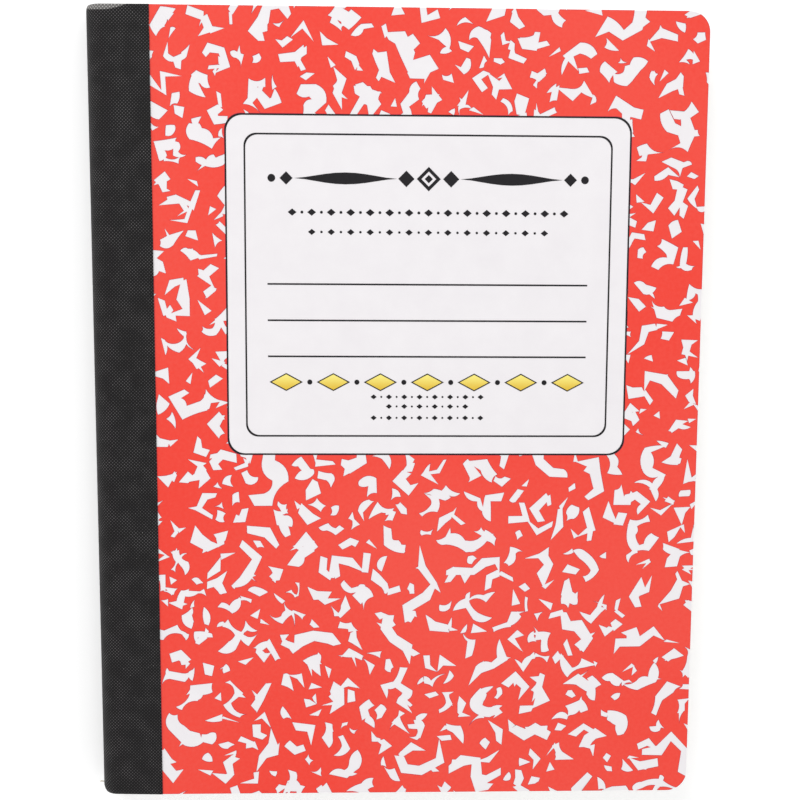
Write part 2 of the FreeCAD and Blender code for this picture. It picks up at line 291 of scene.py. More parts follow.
# %% [markdown]
# Writing paper is softer and a little warmer than the card. Seen from the side the block shows its
# leaves as fine lines, and these are painted shade: dark lines as where a leaf sits deeper, and
# broader bands as where a few lie apart. The noises for them are squeezed flat: their place is
# stretched along z, so they change from leaf to leaf and hardly along one. The first and the last
# page stay clear of them.

# %% Writing paper
LEAF_STRETCH = (6.0, 6.0, 11000.0)
BAND_STRETCH = (3.0, 3.0, 1600.0)
FIRST_PAGE = (0.06 * MM, 0.10 * MM)


def paper_material():
    paper = Recipe("writing_paper", Roughness=0.75, Specular_IOR_Level=0.2)
    leaves = paper.noise(1.0, 2.0, paper.place(LEAF_STRETCH))
    bands = paper.noise(1.0, 2.0, paper.place(BAND_STRETCH))
    below_top = (page_top - paper.along(2)).between(*FIRST_PAGE)
    above_bottom = (paper.along(2) - page_bottom).between(*FIRST_PAGE)
    # Painted shade between the leaves, at random heights, as fine lines and broader bands.
    lines = (leaves + bands * 0.6).between(0.70, 1.10) * below_top * above_bottom
    fibres = paper.noise(2600.0, 3.0, paper.place((1.0, 0.35, 1.0)))
    face = paper.mix(fibres, srgb(243, 241, 233), srgb(250, 249, 244))
    # The painted shade darkens the edges of the leaves towards a brown grey.
    paper.feed("Base Color", paper.mix(lines * 0.45, face, srgb(186, 178, 160)))
    paper.bump(fibres, 0.01 * MM, 0.3)
    return paper.material


writing_paper = paper_material()

# %% [markdown]
# ## Printing inks
# Ink lies on card in a film thinner than a hair. It takes the card's grain, and it is never quite
# even: solid areas are a little mottled. One function mixes every ink of a single colour, from that
# colour and a slightly thinner tone of it.

# %% Inks
def ink_material(name, full, thin, roughness=0.5):
    ink = Recipe(name, Roughness=roughness, Specular_IOR_Level=0.3)
    mottle = ink.noise(900.0, 3.0)
    sweep = ink.noise(9.0, 1.0)
    tone = (mottle * 0.45 + sweep * 0.9).between(0.35, 1.0)
    ink.feed("Base Color", ink.mix(tone, full, thin))
    ink.bump(ink.noise(5200.0, 2.0), 0.01 * MM, 0.3)
    return ink.material


red_ink = ink_material("red_ink", srgb(247, 64, 49), srgb(248, 84, 71))
red_edge = ink_material("red_ink_edge", srgb(186, 48, 70), srgb(198, 58, 82))
black_ink = ink_material("black_ink", srgb(14, 12, 16), srgb(28, 25, 30))
blue_ruling = ink_material("blue_ruling", srgb(150, 182, 214), srgb(168, 196, 222), 0.7)
red_ruling = ink_material("red_ruling", srgb(222, 128, 138), srgb(230, 146, 154), 0.7)

# %% [markdown]
# ## The cloth tape
# The tape is a plain weave of black yarn: each yarn goes over one and under the next, so the high
# places form a lattice of dots on the diagonal. The product of two sines is high in just every
# other cell of a grid, which is that lattice. It gives the bump, and the dots get a painted
# highlight: they are paler than the black yarn. It reads the piece's own map, in metres along the
# girth and the length, so the weave follows the cloth round the spine. At the head of the spine a
# pale lens is a painted glint.

# %% Black cloth
YARN_PITCH = 0.52 * MM
# The painted glint at the head: its middle along the girth, half its width, and its depth.
GLINT_MIDDLE = 8.6 * MM
GLINT_HALF = 8.4 * MM
GLINT_DEPTH = 2.0 * MM


def painted_head_glint(cloth, flat):
    """A painted glint: a pale lens at the very head of the spine, 1 inside it and 0 elsewhere."""
    offset = (cloth.along(0, flat) - GLINT_MIDDLE) / GLINT_HALF
    depth = (1 - offset * offset) * GLINT_DEPTH
    inside = cloth.along(1, flat) + depth - half_length
    return inside.between(0.0, 0.5 * MM) * 0.8


def cloth_material():
    cloth = Recipe("black_cloth", Roughness=0.62, Specular_IOR_Level=0.22)
    flat = cloth.node("UVMap", {"uv_map": "girth"})
    waver = cloth.noise(260.0, 2.0, flat) * 0.9
    girth = cloth.along(0, flat) * (math.pi / YARN_PITCH) + waver
    length = cloth.along(1, flat) * (math.pi / YARN_PITCH) + waver
    crowns = girth.sine() * length.sine()
    lint = cloth.noise(3400.0, 1.0, flat).between(0.66, 0.78)
    # Random patches where the painted highlights on the crowns are stronger.
    highlight_patches = cloth.noise(160.0, 3.0, flat).between(0.35, 0.7)
    dots = crowns.between(0.2, 0.95)
    # The crowns of the black yarn are painted paler: a painted highlight on the weave.
    yarn = cloth.mix(dots * (0.30 + highlight_patches * 0.55), srgb(16, 14, 15), srgb(104, 101, 102))
    # Painted glint: the head of the spine is painted paler, as where light catches the pressed cloth.
    glint_share = painted_head_glint(cloth, flat) * (0.25 + dots * 0.75)
    # One pale colour serves both the painted glint and real specks of lint on the crowns.
    cloth.feed("Base Color", cloth.mix(glint_share + lint * dots * 0.45, yarn, srgb(214, 211, 208)))
    cloth.feed("Roughness", 0.66 - dots * 0.14)
    cloth.bump(crowns, 0.03 * MM, 0.55)
    return cloth.material


black_cloth = cloth_material()

# %% [markdown]
# The sewing thread is two plies of cream cotton. A wave on the diagonal of the piece stands for the
# twist, since the thread is only 0.4 mm thick.

# %% Thread
TWIST_PITCH = 0.5 * MM


def thread_material():
    thread = Recipe("cream_thread", Roughness=0.8, Specular_IOR_Level=0.2)
    ramp = thread.along(0) + thread.along(1)
    twist = (ramp * (2 * math.pi / TWIST_PITCH)).sine()
    fuzz = thread.noise(3000.0)
    tone = (twist * 0.25 + fuzz).between(0.2, 0.9)
    thread.feed("Base Color", thread.mix(tone, srgb(196, 186, 160), srgb(236, 229, 208)))
    thread.bump(twist, 0.04 * MM, 0.6)
    return thread.material


cream_thread = thread_material()

# %% [markdown]
# ## How the ends of the spine are pressed
# A book is trimmed on a guillotine after it is bound, and the blade crushes the ends of the round
# spine: there the cloth dips over the last two millimetres. Every piece at the spine is pressed by
# the same function, so that one layer never comes through the next.

# %% The press
# How far from the end the press reaches, and how deep it goes there.
HEAD_PRESS = (1.6 * MM, 0.30 * MM)
TAIL_PRESS = (2.0 * MM, 0.55 * MM)
# It fades out over the cover. Both rows of cuts are in millimetres, from the crease and from the end.
PRESS_CUTS = (9, 6, 4)
END_CUTS = (0.25, 0.5, 0.8, 1.2, 1.6, 2.1, 2.6)
press_places = [crease_x + step * MM for step in PRESS_CUTS]


def ease(share):
    share = min(max(share, 0.0), 1.0)
    return share * share * (3 - 2 * share)


def press_ends(piece):
    """Moves the ends of the spine towards its axis, most at the very end."""
    for vertex in piece.data.vertices:
        place = vertex.co
        reach, depth = HEAD_PRESS if place.y > 0 else TAIL_PRESS
        near_end = 1 - (half_length - abs(place.y)) / reach
        near_spine = (press_places[0] - place.x) / (press_places[0] - crease_x)
        move = depth * max(near_end, 0.0) ** 2 * ease(near_spine)
        if move <= 0:
            continue
        inward = Vector((max(crease_x - place.x, 0.0), 0, middle_z - place.z))
        if inward.length > 0:
            place += inward.normalized() * move * min(1.0, inward.length / middle_z)


def end_places():
    """Where pieces are cut across near the head and the tail, so that the press can bend them."""
    return [way * (half_length - step * MM) for way in (-1, 1) for step in END_CUTS]

# %% [markdown]
# ## The crease
# A cover turns about a line along the edge of the spine. On the real book the card and the cloth
# bend there over about two millimetres. A cover laid right open has made half a turn, and then
# both ways round are as long. Here the pieces are only cut into narrow strips there.

# %% Strips at the crease
FLEX_WIDTH = 2.4 * MM
FLEX_STRIPS = 12
flex_places = [crease_x + FLEX_WIDTH * n / FLEX_STRIPS for n in range(1, FLEX_STRIPS + 1)]


def flex(piece, cover):
    """Moves the piece's place into its mesh, the same way for either cover."""
    if cover == "front_cover":
        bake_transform(piece)
    else:
        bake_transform(piece)

# %% [markdown]
# ## The cover cards
# Each cover is a sheet of 0.8 mm card with two corners cut round at the fore-edge. It starts as a
# plane. A vertex bevel rounds its corners, cuts divide it into strips at the crease and near the
# ends, Solidify gives it its thickness and a fine Bevel breaks the cut edges, which catch the light
# on a real cover.

# %% Front and back card
CORNER_STEPS = 10
CUT_EDGE = 0.08 * MM


def flip_over(piece):
    """Turns a front piece into its back twin: mirrored from top to bottom, faces still outwards."""
    for vertex in piece.data.vertices:
        vertex.co.z = top_z - vertex.co.z
    piece.data.flip_normals()


def cover_card(name, cover, node, back=False):
    nothing_selected()
    bpy.ops.mesh.primitive_plane_add(size=1, location=((crease_x + fore_x) / 2, 0, card_top))
    bpy.context.active_object.scale = (fore_x - crease_x, 2 * half_length, 1)
    card = begin(name)
    bpy.ops.object.mode_set(mode="EDIT")
    pick("VERT", lambda p: near(p.x, fore_x))
    bpy.ops.mesh.bevel(offset=CORNER_RADIUS, segments=CORNER_STEPS, affect="VERTICES")
    cut_across(flex_places + press_places, 0)
    cut_across(end_places(), 1)
    bpy.ops.object.mode_set(mode="OBJECT")
    apply_modifier(card, "SOLIDIFY", thickness=card_thickness, offset=-1)
    apply_modifier(card, "BEVEL", width=CUT_EDGE, segments=2, limit_method="ANGLE",
                   angle_limit=math.radians(60))
    press_ends(card)
    if back:
        flip_over(card)
    finish_piece(card, white_card, 20)
    flex(card, cover)
    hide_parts(node)


cover_card("front_card", "front_cover", "front_board")
cover_card("back_card", "back_cover", "back_board", back=True)

# %% [markdown]
# ## Round the spine
# The spine's card and the cloth tape are strips that run round a half circle. A straight strip and
# the Spin operator make them: Spin sweeps an edge about an axis, as a lathe would. The tape is made
# in two halves that meet at the middle of the spine, one on the side of each cover.

# %% Strips round the spine
ROUND_STEPS = 14


def strip_round_spine(name, radius, start_x, turn, thickness):
    """A strip from start_x to the crease and on round the spine's axis by an angle."""
    nothing_selected()
    level = middle_z + radius
    bpy.ops.mesh.primitive_plane_add(size=1, location=((crease_x + start_x) / 2, 0, level))
    bpy.context.active_object.scale = (start_x - crease_x, 2 * half_length, 1)
    strip = begin(name)
    bpy.ops.object.mode_set(mode="EDIT")
    pick("EDGE", lambda p: near(p.x, crease_x))
    bpy.ops.mesh.spin(steps=ROUND_STEPS, angle=turn, center=(crease_x, 0, middle_z), axis=(0, 1, 0))
    cut_across([x for x in flex_places if x < start_x - 0.01 * MM], 0)
    cut_across(end_places(), 1)
    bpy.ops.mesh.select_all(action="SELECT")
    bpy.ops.mesh.remove_doubles(threshold=0.001 * MM)
    bpy.ops.mesh.normals_make_consistent(inside=False)
    bpy.ops.object.mode_set(mode="OBJECT")
    middle_face = max(strip.data.polygons, key=lambda face: face.center.x)
    if middle_face.normal.z < 0:
        strip.data.flip_normals()
    apply_modifier(strip, "SOLIDIFY", thickness=thickness, offset=-1, use_even_offset=True)
    return strip


def map_girth(piece):
    """A map in metres: along the girth from the middle of the spine, and along the length."""
    layer = piece.data.uv_layers.new(name="girth")
    for loop in piece.data.loops:
        place = piece.data.vertices[loop.vertex_index].co
        if place.x > crease_x:
            girth = place.x - crease_x + middle_z * math.pi / 2
        else:
            girth = middle_z * math.atan2(abs(place.z - middle_z), crease_x - place.x)
        layer.data[loop.index].uv = (girth, place.y)


def tape_half(name, cover, nodes, back=False):
    tape = strip_round_spine(name, middle_z, tape_x, math.pi / 2, tape_thickness)
    map_girth(tape)
    press_ends(tape)
    if back:
        flip_over(tape)
    finish_piece(tape, black_cloth, 50)
    flex(tape, cover)
    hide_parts(*nodes)


tape_half("front_cloth", "front_cover", ["front_tape", "spine_tape"])
tape_half("back_cloth", "back_cover", ["back_tape"], back=True)

# %% [markdown]
# The card over the spine is only seen at its two ends, between the cloth and the folds of the pages.
# It is the same strip, turned by a full half circle, with nearly no straight part.

# %% Card over the spine
SHORT_LEG = 0.02 * MM
spine_card = strip_round_spine("spine_card", middle_z - tape_thickness, crease_x + SHORT_LEG, math.pi,
                               card_thickness)
press_ends(spine_card)
finish_piece(spine_card, white_card, 50)
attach(spine_card, "text_block")
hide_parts("spine_board")

# %% [markdown]
# ## The pages
# A hundred leaves are fifty sheets folded round one another. Modelling fifty folds one by one would
# be slow, so one line is repeated by an Array, and a single Spin folds all fifty at once. Their edges
# are then pulled out to the fore-edge, the corners are rounded together and Solidify makes paper.

# %% Folded sheets
SHEETS = 50
PAPER = 0.074 * MM
FOLD_STEPS = 16
LEAF_CORNER_STEPS = 7
sheet_pitch = (page_top - page_bottom) / (2 * SHEETS)
stack_top = page_top - PAPER / 2


def lines_of_the_stack():
    """One edge along the book for each sheet, from the top page down to the middle."""
    bpy.ops.mesh.primitive_plane_add(size=1, location=(crease_x + 0.5, 0, stack_top))
    bpy.context.active_object.scale = (1, 2 * half_length, 1)
    stack = begin("pages")
    bpy.ops.object.mode_set(mode="EDIT")
    pick("VERT", lambda p: p.x > crease_x + 0.5)
    bpy.ops.mesh.delete(type="VERT")
    bpy.ops.object.mode_set(mode="OBJECT")
    apply_modifier(stack, "ARRAY", count=SHEETS, use_relative_offset=False,
                   use_constant_offset=True, constant_offset_displace=(0, 0, -sheet_pitch))
    return stack


def fold_the_stack():
    """Folds every line round the spine's axis and pulls both ends out to the fore-edge."""
    bpy.ops.object.mode_set(mode="EDIT")
    bpy.ops.mesh.select_all(action="SELECT")
    bpy.ops.mesh.spin(steps=FOLD_STEPS, angle=math.pi, center=(crease_x, 0, middle_z), axis=(0, 1, 0))
    reach = {"value": (fore_x - crease_x, 0, 0)}
    for side in (-1, 1):
        pick("EDGE", lambda p: near(p.x, crease_x) and side * (p.z - middle_z) > 0
             and abs(p.y) < half_length / 2)
        bpy.ops.mesh.extrude_region_move(TRANSFORM_OT_translate=reach)


def round_the_leaves():
    pick("VERT", lambda p: near(p.x, fore_x))
    bpy.ops.mesh.bevel(offset=CORNER_RADIUS, segments=LEAF_CORNER_STEPS, affect="VERTICES")
    cut_across(end_places(), 1)


nothing_selected()
pages = lines_of_the_stack()
fold_the_stack()
round_the_leaves()
bpy.ops.object.mode_set(mode="OBJECT")
print("the folded stack has", len(pages.data.polygons), "faces")

# %% [markdown]
# The trim is never perfect: leaves stand up to a sixth of a millimetre deeper, in drifts as well as
# one by one, and some sheets are a little shorter. Each draws its small step from a seeded random
# walk, always inwards, so the block stays inside its true size.

# %% Uneven leaves
LEAF_STEP = 0.16 * MM
SIDE_STEP = 0.05 * MM


def loose_edges(count, seed):
    """One inward step for each leaf, made of a slow drift and a quick shake."""
    rng = random.Random(seed)
    drift, steps = 0.5, []
    for _ in range(count):
        drift = min(1.0, max(0.0, drift + rng.uniform(-0.3, 0.3)))
        steps.append(0.6 * drift + 0.4 * rng.random())
    return steps


def unsettle(stack):
    deep = loose_edges(2 * SHEETS, 4)
    aside = loose_edges(SHEETS, 9)
    for vertex in stack.data.vertices:
        place = vertex.co
        if place.x > crease_x:
            level = abs(place.z - middle_z)
        else:
            level = math.hypot(place.x - crease_x, place.z - middle_z)
        sheet = min(SHEETS - 1, round((stack_top - middle_z - level) / sheet_pitch))
        leaf = sheet if place.z > middle_z else 2 * SHEETS - 1 - sheet
        share = max(place.x - crease_x, 0.0) / (fore_x - crease_x)
        place.x -= LEAF_STEP * deep[leaf] * share
        place.y *= 1 - SIDE_STEP * aside[sheet] / half_length


unsettle(pages)
bpy.context.view_layer.objects.active = pages
pages.select_set(True)
bpy.ops.object.mode_set(mode="EDIT")
bpy.ops.mesh.select_all(action="SELECT")
bpy.ops.mesh.remove_doubles(threshold=0.001 * MM)
bpy.ops.mesh.normals_make_consistent(inside=False)
bpy.ops.object.mode_set(mode="OBJECT")
apply_modifier(pages, "SOLIDIFY", thickness=PAPER, offset=0)
press_ends(pages)
finish_piece(pages, writing_paper, 30)
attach(pages, "text_block")
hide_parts("page_block")

# %% [markdown]
# ## Print as a mesh
# The print has crisp edges, and a cover is a large surface, so a painted image would need a great
# many pixels. A flat mesh stays sharp at any distance. Booleans on hundreds of shapes are slow and
# fragile. A constrained triangulation takes all outlines at once and fills the whole field with
# triangles that none of them crosses. Then the outlines round the middle of each triangle are
# counted, and a rule on that number keeps or drops it.

# %% From outlines to an ink film
INK_GAP = 0.01 * MM
MERGE_DISTANCE = 0.0001 * MM


def count_outlines_round(middles, outlines):
    """How many of the outlines each point lies in."""
    counts = np.zeros(len(middles), int)
    x, y = middles[:, 0], middles[:, 1]
    for outline in outlines:
        ring = np.array(outline)
        (left, low), (right, high) = ring.min(0), ring.max(0)
        maybe = np.nonzero((x > left) & (x < right) & (y > low) & (y < high))[0]
        inside = np.zeros(len(maybe), bool)
        for (ax, ay), (bx, by) in zip(ring, np.roll(ring, -1, 0)):
            if ay != by:
                beyond = (ay > y[maybe]) != (by > y[maybe])
                inside ^= beyond & (x[maybe] < ax + (y[maybe] - ay) * (bx - ax) / (by - ay))
        counts[maybe] += inside
    return counts


def inked_triangles(outlines, keep):
    """Corners and triangles, for which keep(in the first outline, outlines round it) is true."""
    points, sides = [], []
    for outline in outlines:
        first, count = len(points), len(outline)
        points += [Vector(point) for point in outline]
        sides += [(first + n, first + (n + 1) % count) for n in range(count)]
    corners, _, faces, *_ = delaunay_2d_cdt(points, sides, [], 0, MERGE_DISTANCE, False)
    flat = np.array([tuple(corner) for corner in corners])
    middles = flat[np.array(faces)].mean(1)
    in_first = count_outlines_round(middles, outlines[:1])
    counts = count_outlines_round(middles, outlines)
    inked = [face for face, first, count in zip(faces, in_first, counts) if keep(first, count)]
    used = sorted({corner for face in inked for corner in face})
    number = {corner: place for place, corner in enumerate(used)}
    return [corners[c] for c in used], [[number[c] for c in face] for face in inked]


def ink_film(name, outlines, keep, back=False, fringe=0.0):
    """A thin solid of ink on the front cover's card, or mirrored onto the back cover."""
    corners, triangles = inked_triangles(outlines, keep)
    mesh = bpy.data.meshes.new(name)
    mesh.from_pydata([(corner.x, corner.y, ink_top) for corner in corners], [], triangles)
    film = bpy.data.objects.new(name, mesh)
    bpy.context.scene.collection.objects.link(film)
    nothing_selected()
    film.select_set(True)
    bpy.context.view_layer.objects.active = film
    if fringe:
        widen_fringe(film, fringe)
    apply_modifier(film, "SOLIDIFY", thickness=ink_top - card_top - INK_GAP, offset=-1)
    if back:
        flip_over(film)
    return film


def widen_fringe(film, width):
    """Insets the film, so that a narrow band along each edge of the ink can have its own colour."""
    bpy.ops.object.mode_set(mode="EDIT")
    bpy.ops.mesh.select_mode(type="FACE")
    bpy.ops.mesh.select_all(action="SELECT")
    bpy.ops.mesh.inset(thickness=width, use_boundary=True, use_even_offset=False)
    bpy.ops.mesh.select_all(action="INVERT")
    film.data.materials.append(red_ink)
    film.data.materials.append(red_edge)
    bpy.context.object.active_material_index = 1
    bpy.ops.object.material_slot_assign()
    bpy.ops.object.mode_set(mode="OBJECT")

# %% [markdown]
# Two outlines come up again and again: an arc, and a box with round corners, which is four arcs. Like
# all outlines here they run against the clock.

# %% Arcs and rounded boxes
BOX_STEPS = 8


def arc(centre, radius, start, turn, steps):
    """Points on an arc, from an angle and turning by another."""
    return [(centre[0] + radius * math.cos(start + turn * n / steps),
             centre[1] + radius * math.sin(start + turn * n / steps)) for n in range(steps + 1)]


def rounded_box(left, right, low, high, radius):
    quarter = math.pi / 2
    return (arc((right - radius, low + radius), radius, -quarter, quarter, BOX_STEPS)
            + arc((right - radius, high - radius), radius, 0, quarter, BOX_STEPS)
            + arc((left + radius, high - radius), radius, quarter, quarter, BOX_STEPS)
            + arc((left + radius, low + radius), radius, 2 * quarter, quarter, BOX_STEPS))

# %% [markdown]
# ## The marbling
# The cover copies an old marbled paper: scattered white flecks, like torn scraps, on solid colour.
# Looked at closely a fleck is a bent stroke with uneven sides and one or two branches, some of its
# sides curved and its ends pointed or cut off. So that is how one is drawn here: a spine that turns
# at random, a left and a right side at uneven distances, and branches from the same strokes.

# %% One fleck
def away(point, heading, distance):
    return (point[0] + distance * math.cos(heading), point[1] + distance * math.sin(heading))


def curve_some_sides(rng, ring, share):
    """Some long sides of an outline become shallow arcs, and its corners stay sharp."""
    curved = []
    for a, b in zip(ring, ring[1:] + ring[:1]):
        curved.append(a)
        length = math.dist(a, b)
        if length > 1.5 and rng.random() < share:
            bulge = rng.uniform(-0.22, 0.22)
            steps = 4 if length < 4 else 6
            for number in range(1, steps):
                t = number / steps
                lift = 4 * bulge * t * (1 - t)
                curved.append((a[0] + (b[0] - a[0]) * t + (a[1] - b[1]) * lift,
                               a[1] + (b[1] - a[1]) * t + (b[0] - a[0]) * lift))
    return curved


def stroke(rng, start, heading, steps, step, half_width):
    """A bent stroke: the points of its spine, and its outline."""
    spine = [start]
    for _ in range(steps):
        spine.append(away(spine[-1], heading, step * rng.uniform(0.65, 1.35)))
        heading += rng.choice((-1, 1)) * rng.uniform(0.35, 1.75)
    left, right = [], []
    last = len(spine) - 1
    pointed = [rng.random() < 0.45, rng.random() < 0.6]
    for number, here in enumerate(spine):
        before, after = spine[max(number - 1, 0)], spine[min(number + 1, last)]
        along = math.atan2(after[1] - before[1], after[0] - before[0])
        across = along + math.pi / 2
        if 0 < number < last:
            left.append(away(here, across, half_width * rng.uniform(0.6, 1.3)))
            right.append(away(here, across, -half_width * rng.uniform(0.6, 1.3)))
        elif pointed[number > 0] and not (last == 1 and number == 0):
            left.append(here)
        else:
            cut = across + rng.uniform(-0.7, 0.7)
            width = half_width * rng.uniform(0.45, 0.95)
            left.append(away(here, cut, width))
            right.append(away(here, cut, -width))
    return spine, left + right[::-1]

# %% [markdown]
# A random outline can cross itself, and then it has no clear inside. Two sides cross where each has
# the ends of the other on different sides of its own line. A fleck with such a pair is thrown away.
# A chip needs no spine: it is a small scrap with three to five corners.

# %% Crossed outlines and chips
def side_of(a, b, point):
    return (b[0] - a[0]) * (point[1] - a[1]) - (b[1] - a[1]) * (point[0] - a[0])


def crosses_itself(ring):
    """Whether any two sides of an outline cross, which would leave it with no clear inside."""
    sides = list(zip(ring, ring[1:] + ring[:1]))
    for number, (a, b) in enumerate(sides):
        for c, d in sides[number + 2:]:
            if d is ring[0] and number == 0:
                continue
            if side_of(a, b, c) * side_of(a, b, d) < 0 and side_of(c, d, a) * side_of(c, d, b) < 0:
                return True
    return False


def chip(rng, centre, length, width):
    """A small scrap with three to five corners."""
    turn = rng.uniform(0, 2 * math.pi)
    count = rng.choice((3, 3, 4, 4, 5))
    corners = []
    for number in range(count):
        angle = 2 * math.pi * (number + rng.uniform(-0.25, 0.25)) / count
        x, y = 0.5 * length * math.cos(angle), 0.5 * width * math.sin(angle)
        corners.append((centre[0] + x * math.cos(turn) - y * math.sin(turn),
                        centre[1] + x * math.sin(turn) + y * math.cos(turn)))
    return corners

# %% [markdown]
# Flecks come in sizes. A large one has a trunk of several steps and a few branches, a small one has
# a step or two, and chips lie between them.

# %% Kinds of flecks
# How many for each square decimetre, the steps of the trunk, the length of a step, half its width,
# and the number of branches. Lengths are in millimetres.
FLECK_KINDS = (
    (22, (3, 5), (3.8, 5.8), (1.5, 2.3), (2, 4)),
    (46, (2, 3), (3.6, 5.4), (1.3, 2.0), (1, 3)),
    (32, (1, 2), (3.0, 4.8), (1.2, 1.8), (0, 2)),
)
BRANCH_STEPS = (1, 1, 2)
BRANCH_STEP = (2.6, 4.8)
CHIPS = 24
CHIP_LENGTH = (3.4, 6.8)


def torn_fleck(rng, x, y, kind):
    _, steps, step, half_width, branches = kind
    width = rng.uniform(*half_width)
    curved = rng.choice((0.0, 0.35, 0.8))
    spine, outline = stroke(rng, (x, y), rng.uniform(0, 2 * math.pi), rng.randint(*steps),
                            rng.uniform(*step), width)
    outlines = [curve_some_sides(rng, outline, curved)]
    for _ in range(rng.randint(*branches)):
        _, branch = stroke(rng, rng.choice(spine), rng.uniform(0, 2 * math.pi),
                           rng.choice(BRANCH_STEPS), rng.uniform(*BRANCH_STEP),
                           width * rng.uniform(0.6, 1.0))
        outlines.append(curve_some_sides(rng, branch, curved))
    return outlines


def small_chip(rng, x, y):
    length = rng.uniform(*CHIP_LENGTH)
    corners = chip(rng, (x, y), length, length * rng.uniform(0.45, 0.85))
    return [curve_some_sides(rng, corners, rng.choice((0.0, 0.5, 1.0)))]

# %% [markdown]
# The large flecks are placed first, while there is room. A fleck that would come closer than a set
# gap to another is thrown away and tried elsewhere. A grid of cells keeps the search short: only
# the outlines in the cells next to a point can be that near.

# %% Scattering them
FLECK_GAP = 0.85
FLECK_TRIES = 60


def dotted(outlines, spacing):
    """Points along the outlines, no further apart than the spacing."""
    for outline in outlines:
        for a, b in zip(outline, outline[1:] + outline[:1]):
            count = max(1, math.ceil(math.dist(a, b) / spacing))
            for number in range(count):
                t = number / count
                yield (a[0] + (b[0] - a[0]) * t, a[1] + (b[1] - a[1]) * t)


def scatter_flecks(seed, left, right, low, high):
    """Outlines of flecks over a rectangle, in millimetres."""
    rng = random.Random(seed)
    taken = {}

    def cell(point):
        return int(point[0] // FLECK_GAP), int(point[1] // FLECK_GAP)

    def free(point):
        column, row = cell(point)
        return all(math.dist(point, other) >= FLECK_GAP
                   for i in (column - 1, column, column + 1) for j in (row - 1, row, row + 1)
                   for other in taken.get((i, j), ()))

    area = (right - left) * (high - low) / 1e4
    jobs = [(kind[0], kind) for kind in FLECK_KINDS] + [(CHIPS, None)]
    flecks = []
    for density, kind in jobs:
        wanted = round(density * area)
        for _ in range(wanted * FLECK_TRIES):
            if not wanted:
                break
            x, y = rng.uniform(left, right), rng.uniform(low, high)
            outlines = torn_fleck(rng, x, y, kind) if kind else small_chip(rng, x, y)
            points = list(dotted(outlines, FLECK_GAP))
            if all(map(free, points)) and not any(map(crosses_itself, outlines)):
                flecks.append(outlines)
                for point in points:
                    taken.setdefault(cell(point), []).append(point)
                wanted -= 1
    return flecks

# %% [markdown]
# The red film covers the cover beyond the tape. The flecks are holes in it, where the bare card
# shows, and so is the label. Along each edge the ink is a little darker, a fringe a tenth of a
# millimetre wide that an Inset draws.

# %% The marbled covers
FRINGE = 0.13 * MM
LABEL_RADIUS = 5.0 * MM
label_low, label_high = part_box("label_lines")


def cover_outline():
    """The printed field: square at the tape, round at the fore-edge."""
    start, quarter = fore_x - CORNER_RADIUS, math.pi / 2
    reach = half_length - CORNER_RADIUS
    return ([(tape_x, half_length), (tape_x, -half_length)]
            + arc((start, -reach), CORNER_RADIUS, -quarter, quarter, CORNER_STEPS)
            + arc((start, reach), CORNER_RADIUS, 0, quarter, CORNER_STEPS))


def only_the_first(first, count):
    return first == 1 and count == 1


def marbled_film(name, cover, node, seed, label, back=False):
    flecks = scatter_flecks(seed, tape_x / MM, fore_x / MM, -half_length / MM, half_length / MM)
    outlines = [cover_outline()]
    if label:
        outlines.append(rounded_box(label_low.x, label_high.x, label_low.y, label_high.y,
                                    LABEL_RADIUS))
    outlines += [[(x * MM, y * MM) for x, y in outline] for fleck in flecks for outline in fleck]
    film = ink_film(name, outlines, only_the_first, back, FRINGE)
    print(name, len(flecks), "flecks,", round(100 * bare_share(film, label)), "% bare card")
    finish_piece(film, red_ink, 20)
    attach(film, cover)
    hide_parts(node)


def bare_share(film, label):
    """How much of the marbled field shows the card, to compare with the real cover."""
    inked = sum(face.area for face in film.data.polygons if abs(face.normal.z) > 0.9) / 2
    field = (fore_x - tape_x) * 2 * half_length
    if label:
        field -= (label_high.x - label_low.x) * (label_high.y - label_low.y)
    return 1 - inked / field


marbled_film("front_marbling", "front_cover", "front_print", 7, True)
marbled_film("back_marbling", "back_cover", "back_print", 31, False, back=True)

# %% [markdown]
# ## The label
# The label is bare card inside a double border, with three rules to write on. The places above and
# below the rules carry printers' ornaments: a headpiece of swelled rules round a diamond, rows of
# small diamonds and dots, and a row of yellow lozenges with a dark outline. Each is a closed outline,
# and where one outline lies in another the inner one is a hole.

# %% Borders and rules
LINE = 0.5 * MM
BORDER_INSET = 5.8 * MM
RULE_LENGTH = 99.4 * MM
RULE_DROP = 51.6 * MM
RULE_PITCH = 11.2 * MM
INNER_RADIUS_LOSS = 0.2
DOT_SIDES = 12
SWELL_STEPS = 10
label_x = (label_low.x + label_high.x) / 2


def border(inset):
    outlines = []
    for edge in (inset, inset + LINE):
        outlines.append(rounded_box(label_low.x + edge, label_high.x - edge, label_low.y + edge,
                                    label_high.y - edge, LABEL_RADIUS - edge * INNER_RADIUS_LOSS))
    return outlines


def bar(x, y, length, width):
    return [(x - length / 2, y - width / 2), (x + length / 2, y - width / 2),
            (x + length / 2, y + width / 2), (x - length / 2, y + width / 2)]


def lozenge(x, y, half_width, half_height):
    return [(x - half_width, y), (x, y - half_height), (x + half_width, y), (x, y + half_height)]


def dot(x, y, radius):
    return arc((x, y), radius, 0, 2 * math.pi * (DOT_SIDES - 1) / DOT_SIDES, DOT_SIDES - 1)


def swelled_rule(x, y, length, height):
    """A rule that is thick in its middle and runs out to points."""
    shares = [n / SWELL_STEPS for n in range(SWELL_STEPS + 1)]
    upper = [(x + length * (share - 0.5), y + height / 2 * math.sin(math.pi * share) ** 1.5)
             for share in shares]
    lower = [(px, 2 * y - py) for px, py in upper[-2:0:-1]]
    return upper + lower


black_outlines = border(0) + border(BORDER_INSET)
for number in range(3):
    rule_y = label_high.y - RULE_DROP - number * RULE_PITCH
    black_outlines.append(bar(label_x, rule_y, RULE_LENGTH, LINE))

